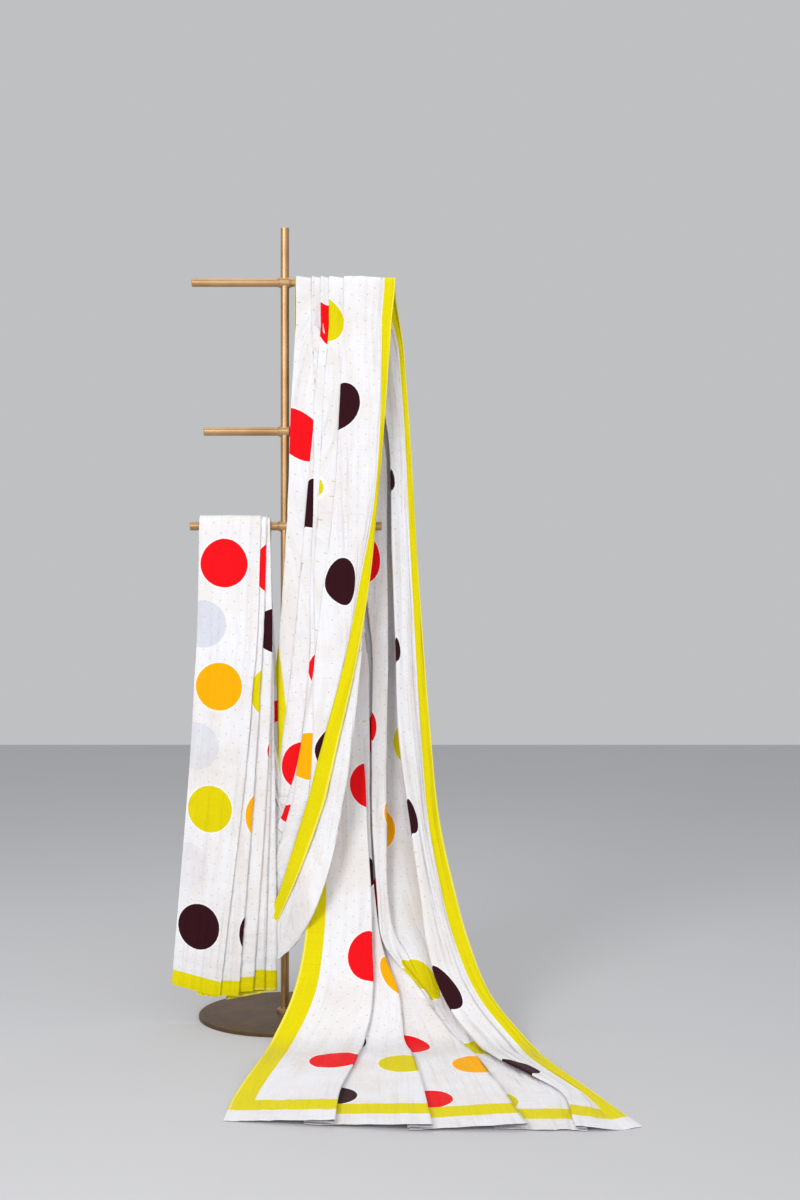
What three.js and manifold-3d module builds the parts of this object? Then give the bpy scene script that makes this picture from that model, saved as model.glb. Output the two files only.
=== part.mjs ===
import * as THREE from "three";
import { mergeVertices } from "three/addons/utils/BufferGeometryUtils.js";
import Module from "manifold-3d";

// A muslin saree draped over a metal display stand.
// Millimetres, +Z up, +X to the viewer's right, the viewer stands at -Y.
// The origin is the centre of the base disc's underside, on the floor.

// Stand
const TUBE_RADIUS = 9.5;
const POLE_TOP = 1771;
const BASE_RADIUS = 192;
const BASE_HEIGHT = 8;
const BASE_CHAMFER = 1.5;
const COLLAR_RADIUS = 18;
const COLLAR_HEIGHT = 9;
const WELD_RADIUS = 12.5;
const WELD_LENGTH = 7;
const CAP_CHAMFER = 1.2;
const SEAT_GAP = 0.3;
const ROUND_SIDES = 32;
const ARM_SIDES = 24;

// Height of each pair of arms, and how far each arm reaches from the pole's axis
const ARM_LEVELS = [
  { name: "top", height: 1648, left: 209, right: 243 },
  { name: "middle", height: 1313, left: 182, right: 182 },
  { name: "lower", height: 1100, left: 213, right: 218 },
];

// Cloth
const CLOTH_THICKNESS = 1.0;
const FLOOR_CLEARANCE = 0.0;
const ARM_SEAT = 1.2;
const ARM_LAYER = 2;
const STACK_LAYER_AT_ARM = 1.4;
const STACK_LAYER_BELOW = 2.4;
const OPEN_FOLD_WIDTH = 9;

const TOP_ARM = ARM_LEVELS[0];
const LOWER_ARM = ARM_LEVELS[2];

const bronze = new THREE.MeshStandardMaterial({ color: 0xc49a5a, roughness: 0.45, metalness: 0.9 });
const darkBronze = new THREE.MeshStandardMaterial({ color: 0x6b5238, roughness: 0.5, metalness: 0.8 });
const muslin = new THREE.MeshStandardMaterial({ color: 0xf4f1ec, roughness: 0.9, metalness: 0.0 });

const wasm = await Module();
wasm.setup();

function toSolid(geometry) {
  const bare = geometry.clone();
  bare.deleteAttribute("normal");
  bare.deleteAttribute("uv");
  const merged = mergeVertices(bare, 1e-4);
  return new wasm.Manifold(
    new wasm.Mesh({
      numProp: 3,
      vertProperties: new Float32Array(merged.attributes.position.array),
      triVerts: new Uint32Array(merged.index.array),
    }),
  );
}

function toGeometry(solid) {
  const mesh = solid.getMesh();
  const geometry = new THREE.BufferGeometry();
  geometry.setAttribute("position", new THREE.BufferAttribute(mesh.vertProperties, 3));
  geometry.setIndex(new THREE.BufferAttribute(mesh.triVerts, 1));
  return geometry;
}

// A turned piece along +Z from a profile of [radius, height] points
function turned(profile, sides) {
  const points = profile.map(([radius, height]) => new THREE.Vector2(radius, height));
  const geometry = new THREE.LatheGeometry(points, sides);
  geometry.rotateX(Math.PI / 2);
  return geometry;
}

function makeBase() {
  const rim = BASE_RADIUS;
  const profile = [
    [0, 0],
    [rim, 0],
    [rim, BASE_HEIGHT - BASE_CHAMFER],
    [rim - BASE_CHAMFER, BASE_HEIGHT],
    [0, BASE_HEIGHT],
  ];
  return turned(profile, 2 * ROUND_SIDES);
}

function makePole() {
  const bottom = BASE_HEIGHT + SEAT_GAP;
  const profile = [
    [0, bottom],
    [TUBE_RADIUS, bottom],
    [TUBE_RADIUS, POLE_TOP - CAP_CHAMFER],
    [TUBE_RADIUS - CAP_CHAMFER, POLE_TOP],
    [0, POLE_TOP],
  ];
  return turned(profile, ROUND_SIDES);
}

function makeCollar() {
  const bore = TUBE_RADIUS + SEAT_GAP;
  const bottom = BASE_HEIGHT + SEAT_GAP;
  const top = bottom + COLLAR_HEIGHT;
  const profile = [
    [bore, bottom],
    [COLLAR_RADIUS, bottom],
    [COLLAR_RADIUS, top - 3],
    [COLLAR_RADIUS - 3, top],
    [bore, top],
    [bore, bottom],
  ];
  return turned(profile, ROUND_SIDES);
}

// An arm from the pole's axis to its end, its foot cut to the pole with a small gap
function makeArm(reach, height, side) {
  const profile = [
    [0, 0],
    [WELD_RADIUS, 0],
    [WELD_RADIUS, TUBE_RADIUS],
    [TUBE_RADIUS, TUBE_RADIUS + WELD_LENGTH],
    [TUBE_RADIUS, reach - CAP_CHAMFER],
    [TUBE_RADIUS - CAP_CHAMFER, reach],
    [0, reach],
  ];
  const arm = turned(profile, ARM_SIDES);
  arm.rotateY((side * Math.PI) / 2);
  arm.translate(0, 0, height);
  const keepOut = turned(
    [
      [0, height - 40],
      [TUBE_RADIUS + SEAT_GAP, height - 40],
      [TUBE_RADIUS + SEAT_GAP, height + 40],
      [0, height + 40],
    ],
    ROUND_SIDES,
  );
  return toGeometry(toSolid(arm).subtract(toSolid(keepOut)));
}

// The cloth is one grid. Its columns run along the cloth, from the right selvedge to the left
// one. Its rows cross it: floor hem, rear panel, top arm, front panel, swag, side pleats.
// Five pleats gather it. Each turns at a left fold and at a right one. "edge0" is the right
// selvedge, "edge1" the left one, "border" and "panel" lie between edge0 and the first fold.
// A column between two folds may have a foot: over the arm it lies beside the fold named there.
const COLUMNS = [
  { at: "edge0" },
  { at: "border" },
  { at: "panel" },
  { fold: "left1" },
  { fold: "right1" },
  { between: 0.5, foot: "left1" },
  { fold: "left2" },
  { fold: "right2" },
  { between: 0.5, foot: "left2" },
  { fold: "left3" },
  { fold: "right3" },
  { between: 0.5, foot: "left3" },
  { fold: "left4" },
  { fold: "right4" },
  { between: 0.5, foot: "left4" },
  { fold: "left5" },
  { fold: "right5" },
  { between: 0.5 },
  { at: "edge1" },
];
const FOOT_SHIFT = 2;
const FOOT_LIFT = 0.2;

// Rear panel, a station for each entry, from the floor hem up to the top arm.
// depth and height draw the profile that all of its folds follow.
const REAR_PROFILE = {
  depth: [-784, -610, -425, -262, -172, -104, -50, -5, 12, 25, 30, 30, 22],
  height: [0.7, 3, 11, 2, 82, 176, 275, 440, 645, 825, 1070, 1295, 1500],
};
// How much further towards the viewer than the profile each line's floor end lies
const REAR_REACH = {
  edge0: 12, border: 30, panel: 37, left1: 36, right1: 38, left2: 34, right2: 36, left3: 26,
  right3: 38, left4: 34, right4: 42, left5: 4, right5: 18, edge1: -20,
};
const REAR_FOLD_WIDTH = [4, 4, 4, 4, 5, 5, 5, 5, 5, 5, 5, 4, 3];
// How far right of the pole each line of the rear panel lies, a row for each
const REAR_ACROSS = {
  edge0: [690, 630, 562, 537, 457, 413, 384, 348, 327, 313, 296, 283, 268],
  border: [648, 606, 528, 503, 425, 381, 353, 322, 305, 294, 281, 271, 256],
  panel: [604, 594, 490, 458, 387, 350, 328, 301, 281, 272, 264, 255, 225],
  left1: [567, 560, 452, 411, 346, 317, 304, 281, 256, 250, 241, 233, 192],
  right1: [588, 579, 480, 446, 376, 350, 335, 318, 300, 292, 284, 272, 186],
  left2: [545, 528, 435, 395, 334, 275, 190, 170, 150, 150, 150, 145, 118],
  right2: [522, 494, 427, 389, 326, 259, 233, 229, 230, 233, 229, 223, 150],
  left3: [426, 391, 369, 338, 318, 227, 209, 197, 195, 195, 168, 157, 112],
  right3: [483, 449, 413, 381, 308, 240, 225, 213, 210, 214, 196, 185, 104],
  left4: [273, 259, 239, 222, 206, 190, 165, 145, 125, 110, 90, 80, 68],
  right4: [316, 303, 286, 268, 257, 220, 203, 192, 190, 186, 150, 134, 92],
  left5: [88, 91, 111, 114, 121, 105, 95, 80, 70, 60, 42, 34, 30],
  right5: [143, 148, 175, 186, 202, 198, 195, 185, 172, 146, 112, 96, 60],
  edge1: [-58, -52, -26, -15, 27, 49, 53, 49, 43, 37, 32, 28, 23],
};
// How far each line stands towards the viewer, or up off the floor
const REAR_LIFT = {
  edge0: [0, 0, 1, 1, 3, 5, 5, 5, 5, 5, 4, 3, 1],
  border: [0, 0, 3, 5, 12, 13, 13, 12, 10, 8, 6, 4, 1],
  panel: [6, 6, 9, 14, 24, 26, 26, 24, 20, 16, 12, 8, 0],
  left1: [8, 8, 12, 16, 28, 30, 31, 30, 26, 22, 16, 10, -2],
  right1: [2.5, 2.5, 2, 3, -8, -22, -38, -44, -42, -35, -28, -20, -5],
  left2: [2, 2, 2, 3, -4, -12, -30, -34, -33, -30, -26, -20, -13],
  right2: [2, 2, 3, 4, -2, -9, -8, -6, -4, -4, -4, -4, -6],
  left3: [3, 3, 3, 3, 3, 2, 2, 4, 3, 3, 3, 2, -5],
  right3: [12, 12, 12, 12, 5, -6, -8, -7, -6, -6, -6, -6, -6],
  left4: [3, 3, 3, 3, 2, -18, -22, -20, -18, -18, -16, -14, -10],
  right4: [12, 12, 13, 14, 14, 3, 2, 0, 0, 0, -1, -2, -5],
  left5: [3, 3, 4, 5, 5, 0, -6, -8, -10, -9, -8, -7, -7],
  right5: [12, 13, 14, 18, 20, 20, 19, 16, 13, 11, 8, 5, -1.5],
  edge1: [0, 0, 1, 1, 2, 6, 8, 8, 8, 7, 5, 3, -1],
};

// Over the top arm: the place of each line and the number of layers under it
const ARM_ACROSS = {
  edge0: 248, border: 224, panel: 168, left1: 133, right1: 160, left2: 100, right2: 107,
  left3: 81, right3: 84.5, left4: 61, right4: 65, left5: 20, right5: 29, edge1: 23,
};
const ARM_LAYERS = {
  edge0: 0, border: 0.3, panel: 2, left1: 1.5, right1: 0.5, left2: 1.5, right2: 0.5,
  left3: 1.5, right3: 0.5, left4: 1.5, right4: 0.5, left5: 1.5, right5: 0.5, edge1: 0,
};

// Front panel, a station for each entry, from the top arm down to where the swag turns
const FRONT_PROFILE = {
  height: [1556, 1365, 1157, 979, 796, 599, 497],
  depth: [-13, -15, -15.5, -16, -16, -16, -16],
};
const FRONT_FOLD_WIDTH = [2, 1.6, 2, 2.3, 2.5, 2.5, 2.5];
const FRONT_ACROSS = {
  edge0: [240, 227, 210, 192, 163, 119, 96],
  border: [218, 217, 204, 174, 143, 94, 71],
  panel: [172, 168, 164, 160, 146, 100, 74],
  left1: [133, 124, 112, 91, 69, 65, 56],
  right1: [158, 174, 183, 185, 172, 152, 135],
  left2: [100, 87, 78, 67, 69, 36, 23],
  right2: [108, 145, 160, 165, 150, 112, 90],
  left3: [82, 67, 66, 60, 57, 36, 10],
  right3: [86, 130, 150, 140, 130, 100, 78],
  left4: [62, 67, 50, 36, 18, -6, -10],
  right4: [66, 110, 140, 135, 120, 90, 70],
  left5: [21, 15, 8, -2, -14, -14, -16],
  right5: [31, 90, 115, 110, 95, 75, 58],
  edge1: [23, 22, 20, 9, -18, -27, -28],
};
// How far each line stands in front of the rearmost layer
const FRONT_LIFT = {
  edge0: [2, 15, 20, 24, 28, 28, 28],
  border: [2.5, 17, 22.5, 27, 31, 31, 31],
  panel: [5, 17, 22, 25, 27, 27, 27],
  left1: [4, 16, 20, 23, 25, 25, 25],
  right1: [2, 14.4, 18, 20.7, 22.5, 22.5, 22.5],
  left2: [4, 12.8, 16, 18.4, 20, 20, 20],
  right2: [2, 11.2, 14, 16.1, 17.5, 17.5, 17.5],
  left3: [4, 9.6, 12, 13.8, 15, 15, 15],
  right3: [2, 8, 10, 11.5, 12.5, 12.5, 12.5],
  left4: [4, 6.4, 8, 9.2, 10, 10, 10],
  right4: [2, 4.8, 6, 6.9, 7.5, 7.5, 7.5],
  left5: [4, 3.2, 4, 4.6, 5, 5, 5],
  right5: [2, 1.6, 2, 2.3, 2.5, 2.5, 2.5],
  edge1: [0, 0, 0, 0, 0, 0, 0],
};

// Side pleats, from the swag's end to the saree's own end. Each row is a fold, with its place
// left of the pole at the arm, a third of the way down, and at the hem, and its hem's height.
const SIDE_FOLDS = [
  { name: "inner", top: -66, middle: -88, bottom: -128, hem: 44 },
  { name: "right5", top: -40, middle: -22, bottom: -14, hem: 66 },
  { name: "left5", top: -78, middle: -84, bottom: -100, hem: 66 },
  { name: "right4", top: -36, middle: -25, bottom: -42, hem: 68 },
  { name: "left4", top: -88, middle: -96, bottom: -120, hem: 66 },
  { name: "right3", top: -32, middle: -26, bottom: -66, hem: 66 },
  { name: "left3", top: -98, middle: -110, bottom: -150, hem: 62 },
  { name: "right2", top: -39, middle: -50, bottom: -98, hem: 56 },
  { name: "left2", top: -150, middle: -165, bottom: -190, hem: 60 },
  { name: "right1", top: -52, middle: -66, bottom: -140, hem: 54 },
  { name: "end", top: -190, middle: -196, bottom: -246, hem: 84 },
];
const SIDE_LEAN = 27;
const SIDE_LEAN_DROP = 320;
const SIDE_FLAP = 28;
const SIDE_WRAP_COLUMNS = 6;
const SIDE_FLAP_COLUMNS = 4;
// The rows that join the swag to the innermost pleat start this far right of its fold
const JOIN_ROWS = 11;
const JOIN_SHIFT = 34;
const SWAG_ROWS = 11;
const SWAG_SAG = 200;
// The swag's plies close up towards this depth, to pass behind the side pleats
const SWAG_CLOSE = { from: -32, depth: -25, share: 0.8, across: 60, width: 140 };
const SWAG_MEET = 0.55;
// Down from the first height the front panel's right side comes forward, all the way at the
// second, and in the swag too, to hang clear of the rear panel's sweep
const LEAN = { slope: 0.3, across: -25, high: 979, low: 497 };
// The swag's low right side passes this far further forward, in front of the rear panel's border
const SWAG_PASS = { depth: 34, high: 430, low: 265, across: -20, width: 90 };

const lerp = (a, b, t) => a + (b - a) * t;
const clamp = (value, low, high) => Math.min(Math.max(value, low), high);

// Smooth value between the entries of a list, at a fractional place
function along(values, place) {
  const last = values.length - 1;
  const i = clamp(Math.floor(place), 0, last - 1);
  const t = place - i;
  const [a, b] = [values[i], values[i + 1]];
  const before = i > 0 ? values[i - 1] : 2 * a - b;
  const after = i < last - 1 ? values[i + 2] : 2 * b - a;
  const slopeA = 0.5 * (b - before);
  const slopeB = 0.5 * (after - a);
  const t2 = t * t;
  const t3 = t2 * t;
  return (
    (2 * t3 - 3 * t2 + 1) * a + (t3 - 2 * t2 + t) * slopeA + (3 * t2 - 2 * t3) * b + (t3 - t2) * slopeB
  );
}

// From 0 to 1 between two edges, easing in and out
function ease(value, from, to) {
  const t = clamp((value - from) / (to - from), 0, 1);
  return t * t * (3 - 2 * t);
}

// One crossing row as [across, lift] points: each fold becomes two points, a fold width apart
function crossing(across, lift, foldWidth, footed) {
  const keys = COLUMNS.filter((column) => !column.between).map((column) => {
    const name = column.at ?? column.fold;
    return { name, fold: Boolean(column.fold), x: across[name], h: lift[name] };
  });
  const rounded = [];
  keys.forEach((key, k) => {
    if (!key.fold) {
      rounded.push([[key.x, key.h]]);
      return;
    }
    const before = new THREE.Vector2(key.x - keys[k - 1].x, key.h - keys[k - 1].h).normalize();
    const after = new THREE.Vector2(keys[k + 1].x - key.x, keys[k + 1].h - key.h).normalize();
    const openness = Math.max(0, before.dot(after));
    const half = lerp(foldWidth, OPEN_FOLD_WIDTH, openness) / 2;
    const turn = before.clone().add(after).normalize().multiplyScalar(half);
    rounded.push([
      [key.x - turn.x, key.h - turn.y],
      [key.x + turn.x, key.h + turn.y],
    ]);
  });
  const row = [];
  let next = 0;
  for (const column of COLUMNS) {
    if (footed && column.foot) {
      row.push([across[column.foot] - FOOT_SHIFT, FOOT_LIFT]);
    } else if (column.between) {
      const start = rounded[next - 1].at(-1);
      const end = rounded[next][0];
      row.push([lerp(start[0], end[0], column.between), lerp(start[1], end[1], column.between)]);
    } else {
      row.push(...rounded[next]);
      next += 1;
    }
  }
  return row;
}

// One value for each column: a fold has two columns, and one between two lines gets their mean
function perColumn(table) {
  const named = COLUMNS.map((column) => table[column.at ?? column.fold]);
  return COLUMNS.flatMap((column, k) => {
    if (column.between) return [lerp(named[k - 1], named[k + 1], column.between)];
    return column.fold ? [named[k], named[k]] : [named[k]];
  });
}

const pick = (table, place) =>
  Object.fromEntries(Object.entries(table).map(([name, values]) => [name, along(values, place)]));

function rearRows(step) {
  const rows = [];
  const last = REAR_PROFILE.depth.length - 1;
  const reach = perColumn(REAR_REACH);
  for (let place = 0; place <= last + 1e-6; place += step) {
    const y = along(REAR_PROFILE.depth, place);
    const z = along(REAR_PROFILE.height, place);
    const ahead = Math.min(place + 0.05, last);
    const behind = Math.max(place - 0.05, 0);
    const rise = new THREE.Vector2(
      along(REAR_PROFILE.depth, ahead) - along(REAR_PROFILE.depth, behind),
      along(REAR_PROFILE.height, ahead) - along(REAR_PROFILE.height, behind),
    ).normalize();
    const foldWidth = along(REAR_FOLD_WIDTH, place);
    const points = crossing(pick(REAR_ACROSS, place), pick(REAR_LIFT, place), foldWidth, false);
    rows.push(
      points.map(([x, h], c) => {
        const up = Math.max(z + h * rise.x, CLOTH_THICKNESS / 2 + FLOOR_CLEARANCE);
        return new THREE.Vector3(x, y - h * rise.y - reach[c] * clamp(1 - place, 0, 1), up);
      }),
    );
  }
  return rows;
}

function armRows(steps) {
  const lifts = Object.fromEntries(
    Object.entries(ARM_LAYERS).map(([name, count]) => [name, count * ARM_LAYER]),
  );
  const points = crossing(ARM_ACROSS, lifts, ARM_LAYER, true);
  const seat = TUBE_RADIUS + ARM_SEAT;
  const rows = [];
  for (let i = 0; i <= steps; i += 1) {
    const angle = (Math.PI * i) / steps;
    rows.push(
      points.map(([x, h]) => {
        const r = seat + h;
        return new THREE.Vector3(x, r * Math.cos(angle), TOP_ARM.height + r * Math.sin(angle));
      }),
    );
  }
  return rows;
}

function frontRows(step) {
  const rows = [];
  const last = FRONT_PROFILE.height.length - 1;
  for (let place = 0; place <= last + 1e-6; place += step) {
    const z = along(FRONT_PROFILE.height, place);
    const rear = along(FRONT_PROFILE.depth, place);
    const width = along(FRONT_FOLD_WIDTH, place);
    const points = crossing(pick(FRONT_ACROSS, place), pick(FRONT_LIFT, place), width, place < 0.5);
    const slope = LEAN.slope * ease(LEAN.high - z, 0, LEAN.high - LEAN.low);
    const lean = (x) => slope * Math.max(x - LEAN.across, 0);
    rows.push(points.map(([x, h]) => new THREE.Vector3(x, rear - h - lean(x), z)));
  }
  return rows;
}

const columnCount = COLUMNS.reduce((sum, column) => sum + (column.fold ? 2 : 1), 0);
const hangColumns = columnCount - SIDE_WRAP_COLUMNS - SIDE_FLAP_COLUMNS;

// Distance of each column above the side hem, along the cloth, up to the arm's front
function hangShare(c) {
  const first = [0, 0.045, 0.1];
  if (c < first.length) return first[c];
  return lerp(0.1, 1, (c - 2) / (hangColumns - 1 - 2));
}

// One hanging row of the side pleats: a fold's line, at a layer's distance from the arm.
// reach says how much of the way round the arm the top end goes, 1 for all of it.
function hangingRow(fold, layer, reach) {
  const atArm = TUBE_RADIUS + ARM_SEAT + layer * STACK_LAYER_AT_ARM;
  const armHeight = LOWER_ARM.height;
  const wrap = Math.PI * atArm;
  const total = armHeight - fold.hem + reach * (wrap + SIDE_FLAP);
  const full = armHeight - fold.hem + wrap + SIDE_FLAP;
  const row = [];
  for (let c = 0; c < columnCount; c += 1) {
    let distance;
    if (c < hangColumns) distance = hangShare(c) * (armHeight - fold.hem);
    else if (c < hangColumns + SIDE_WRAP_COLUMNS)
      distance = armHeight - fold.hem + (wrap * (c - hangColumns + 1)) / SIDE_WRAP_COLUMNS;
    else
      distance =
        armHeight - fold.hem + wrap + (SIDE_FLAP * (c - hangColumns - SIDE_WRAP_COLUMNS + 1)) / SIDE_FLAP_COLUMNS;
    distance *= total / full;
    const drop = armHeight - fold.hem - distance;
    if (drop >= 0) {
      const t = drop / (armHeight - fold.hem);
      const x = along([fold.top, fold.middle, fold.bottom], t < 1 / 3 ? t * 3 : 1 + (t - 1 / 3) * 1.5);
      const lean = clamp(drop / SIDE_LEAN_DROP, 0, 1);
      const eased = lean * lean * (3 - 2 * lean);
      const below = SIDE_LEAN + (TUBE_RADIUS + ARM_SEAT) + layer * STACK_LAYER_BELOW;
      row.push(new THREE.Vector3(x, -lerp(atArm, below, eased), armHeight - drop));
    } else if (-drop <= wrap) {
      const angle = -drop / atArm;
      row.push(
        new THREE.Vector3(fold.top, -atArm * Math.cos(angle), armHeight + atArm * Math.sin(angle)),
      );
    } else {
      row.push(new THREE.Vector3(fold.top, atArm, armHeight + drop + wrap));
    }
  }
  return row;
}

// The side pleats: each layer is flat between two folds, and each fold steps one layer out
function sideRows() {
  const rows = [];
  SIDE_FOLDS.forEach((fold, i) => {
    rows.push(hangingRow(fold, i, 1));
    if (i < SIDE_FOLDS.length - 1) rows.push(hangingRow(fold, i + 1, 1));
  });
  return rows;
}

// Where the swag joins the side pleats its top edge comes forward over the arm
function joinRows() {
  const inner = SIDE_FOLDS[0];
  const rows = [];
  for (let k = 0; k < JOIN_ROWS; k += 1) {
    const reach = k / JOIN_ROWS;
    const shift = JOIN_SHIFT * (1 - reach);
    const fold = { ...inner, top: inner.top + shift, middle: inner.middle + shift / 2 };
    rows.push(hangingRow(fold, 0, reach));
  }
  return rows;
}

// The swag: each column goes down from the front panel, turns, and rises to the side pleats.
// How deep a point lies is its ply's own depth and a shift that only its place decides.
function swagRows(from, to) {
  const rows = [];
  for (let i = 1; i < SWAG_ROWS; i += 1) {
    const t = i / SWAG_ROWS;
    rows.push(
      from.map((start, c) => {
        const end = to[c];
        const share = (end.z - to[0].z) / (to.at(-1).z - to[0].z);
        const sag = SWAG_SAG * Math.sin(Math.PI * clamp((share - 0.08) / 0.27, 0, 1));
        const one = new THREE.Vector3(start.x - lerp(60, 0, share), 0, start.z - lerp(190, 0, share) - sag);
        const two = new THREE.Vector3(end.x + lerp(70, 20, share), 0, end.z - lerp(-60, 700, share) - sag);
        const point = new THREE.CubicBezierCurve3(start, one, two, end).getPoint(t);
        const closing = ease(SWAG_CLOSE.across - point.x, 0, SWAG_CLOSE.width);
        const own = start.y + LEAN.slope * Math.max(start.x - LEAN.across, 0);
        const ply = (own - SWAG_CLOSE.from) * lerp(1, SWAG_CLOSE.share, closing);
        const middle = lerp(SWAG_CLOSE.from, SWAG_CLOSE.depth, closing);
        const low = ease(SWAG_PASS.high - point.z, 0, SWAG_PASS.high - SWAG_PASS.low);
        const pass = SWAG_PASS.depth * low * ease(point.x - SWAG_PASS.across, 0, SWAG_PASS.width);
        const lean = LEAN.slope * Math.max(point.x - LEAN.across, 0) + pass;
        point.y = lerp(middle + ply - lean, end.y, ease(t, SWAG_MEET, 1));
        return point;
      }),
    );
  }
  return rows;
}

// A closed sheet from a grid of points: the grid moved half a thickness to each side
function sheetGeometry(rows, thickness) {
  const rowCount = rows.length;
  const columns = rows[0].length;
  const unit = (v) => (v.lengthSq() > 1e-12 ? v.normalize() : v);
  const slope = (before, here, after) => {
    const back = before ? unit(here.clone().sub(before)) : null;
    const on = after ? unit(after.clone().sub(here)) : null;
    if (!back) return on;
    if (!on) return back;
    return unit(back.clone().add(on));
  };
  const front = [];
  const rear = [];
  for (let i = 0; i < rowCount; i += 1) {
    for (let j = 0; j < columns; j += 1) {
      const here = rows[i][j];
      const down = slope(rows[i - 1]?.[j], here, rows[i + 1]?.[j]);
      const over = slope(rows[i][j - 1], here, rows[i][j + 1]);
      const normal = unit(new THREE.Vector3().crossVectors(over, down)).multiplyScalar(thickness / 2);
      front.push(here.clone().add(normal));
      rear.push(here.clone().sub(normal));
    }
  }
  const positions = [...front, ...rear].flatMap((p) => [p.x, p.y, p.z]);
  const offset = rowCount * columns;
  const index = [];
  const at = (i, j) => i * columns + j;
  const quad = (a, b, c, d) => index.push(a, b, c, a, c, d);
  for (let i = 0; i < rowCount - 1; i += 1) {
    for (let j = 0; j < columns - 1; j += 1) {
      const [a, b, c, d] = [at(i, j), at(i, j + 1), at(i + 1, j + 1), at(i + 1, j)];
      const near = rows[i][j].distanceTo(rows[i + 1][j + 1]);
      const far = rows[i][j + 1].distanceTo(rows[i + 1][j]);
      if (near < far) {
        quad(a, b, c, d);
        quad(offset + a, offset + d, offset + c, offset + b);
      } else {
        quad(b, c, d, a);
        quad(offset + b, offset + a, offset + d, offset + c);
      }
    }
  }
  for (let j = 0; j < columns - 1; j += 1) {
    quad(at(0, j + 1), at(0, j), offset + at(0, j), offset + at(0, j + 1));
    const last = rowCount - 1;
    quad(at(last, j), at(last, j + 1), offset + at(last, j + 1), offset + at(last, j));
  }
  for (let i = 0; i < rowCount - 1; i += 1) {
    quad(at(i, 0), at(i + 1, 0), offset + at(i + 1, 0), offset + at(i, 0));
    const last = columns - 1;
    quad(at(i + 1, last), at(i, last), offset + at(i, last), offset + at(i + 1, last));
  }
  const geometry = new THREE.BufferGeometry();
  geometry.setAttribute("position", new THREE.Float32BufferAttribute(positions, 3));
  geometry.setIndex(index);
  return geometry;
}

function makeSaree() {
  const front = frontRows(0.75);
  const join = joinRows();
  const swag = swagRows(front.at(-1), join[0]);
  const rows = [...rearRows(0.75), ...armRows(6), ...front, ...swag, ...join, ...sideRows()];
  return sheetGeometry(rows, CLOTH_THICKNESS);
}

const group = new THREE.Group();
function add(name, geometry, material) {
  const mesh = new THREE.Mesh(geometry, material);
  mesh.name = name;
  group.add(mesh);
}

add("base_disc", makeBase(), darkBronze);
add("foot_collar", makeCollar(), bronze);
add("pole", makePole(), bronze);
for (const level of ARM_LEVELS) {
  add(`${level.name}_arm_left`, makeArm(level.left, level.height, -1), bronze);
  add(`${level.name}_arm_right`, makeArm(level.right, level.height, 1), bronze);
}
add("saree", makeSaree(), muslin);

export default group;
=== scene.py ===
import math

import bpy
import numpy as np
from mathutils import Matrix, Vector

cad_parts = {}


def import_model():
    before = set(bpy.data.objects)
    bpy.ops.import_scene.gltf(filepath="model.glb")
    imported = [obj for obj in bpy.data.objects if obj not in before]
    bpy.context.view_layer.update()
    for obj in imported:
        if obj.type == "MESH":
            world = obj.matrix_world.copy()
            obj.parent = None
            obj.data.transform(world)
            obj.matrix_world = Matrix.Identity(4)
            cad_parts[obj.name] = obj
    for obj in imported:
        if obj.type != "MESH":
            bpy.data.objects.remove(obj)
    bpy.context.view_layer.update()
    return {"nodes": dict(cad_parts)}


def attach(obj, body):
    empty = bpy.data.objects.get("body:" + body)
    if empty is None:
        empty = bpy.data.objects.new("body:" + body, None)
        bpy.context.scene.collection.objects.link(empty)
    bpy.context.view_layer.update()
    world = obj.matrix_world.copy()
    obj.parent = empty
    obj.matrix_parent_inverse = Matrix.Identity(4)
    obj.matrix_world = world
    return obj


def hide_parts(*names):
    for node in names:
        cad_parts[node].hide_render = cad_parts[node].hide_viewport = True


# A muslin saree draped over a metal display stand: the looks.
# The cloth's tables are the source's own, in millimetres, but for a wider border strip in the
# swag, and are turned into metres when the mesh is made. X runs to the viewer's right, Z up,
# and the viewer stands at -Y.
MILLIMETRES = 1000

# The stand, and how thick the cloth lies on it
TUBE_RADIUS = 9.5
TOP_ARM_HEIGHT = 1648
LOWER_ARM_HEIGHT = 1100
CLOTH_THICKNESS = 1.0
# The middle of the cloth lies at least this high over the floor
LOWEST = 0.4
ARM_SEAT = 1.2
ARM_LAYER = 2.0
STACK_LAYER_AT_ARM = 1.4
STACK_LAYER_BELOW = 2.4
# A fold that hardly turns back is this wide
OPEN_FOLD_WIDTH = 9

# The flat cloth and its print, in metres
CLOTH_WIDTH = 1.12
BORDER_WIDTH = 0.045
END_MARGIN = 0.06
END_STRIPE = 0.058
# How soft the border's and the spots' edges are, and how far the cloth's weave moves them
BORDER_EDGE = 0.0005
SPOT_EDGE = 0.0006
WOBBLE = {"scale": 260.0, "size": 0.0016}
# The paler line along the border's outer edge starts and ends between these
BORDER_LINE = {"start": (0.0006, 0.0016), "end": (0.0052, 0.0044)}
SPOT_RADIUS = 0.052
SPOT_ROW_START = 0.165
SPOT_ROW_STEP = 0.185
SPOT_ACROSS_START = 0.157
SPOT_ACROSS_STEP = 0.269
# Even rows stand half a step further across and end a spot sooner than odd ones
EVEN_ROW_LAST = 2.5
# The cloth just round a spot is clear of pin dots and a little brighter
HALO = {"outer": 0.0042, "inner": 0.0012, "strength": 0.6}
# The strip beside the border is plain in the swag, so these spots of it aren't printed
PLAIN_SPOTS = [{"row": 18, "place": 0}, {"row": 19, "place": 1}, {"row": 20, "place": 0}]
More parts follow.
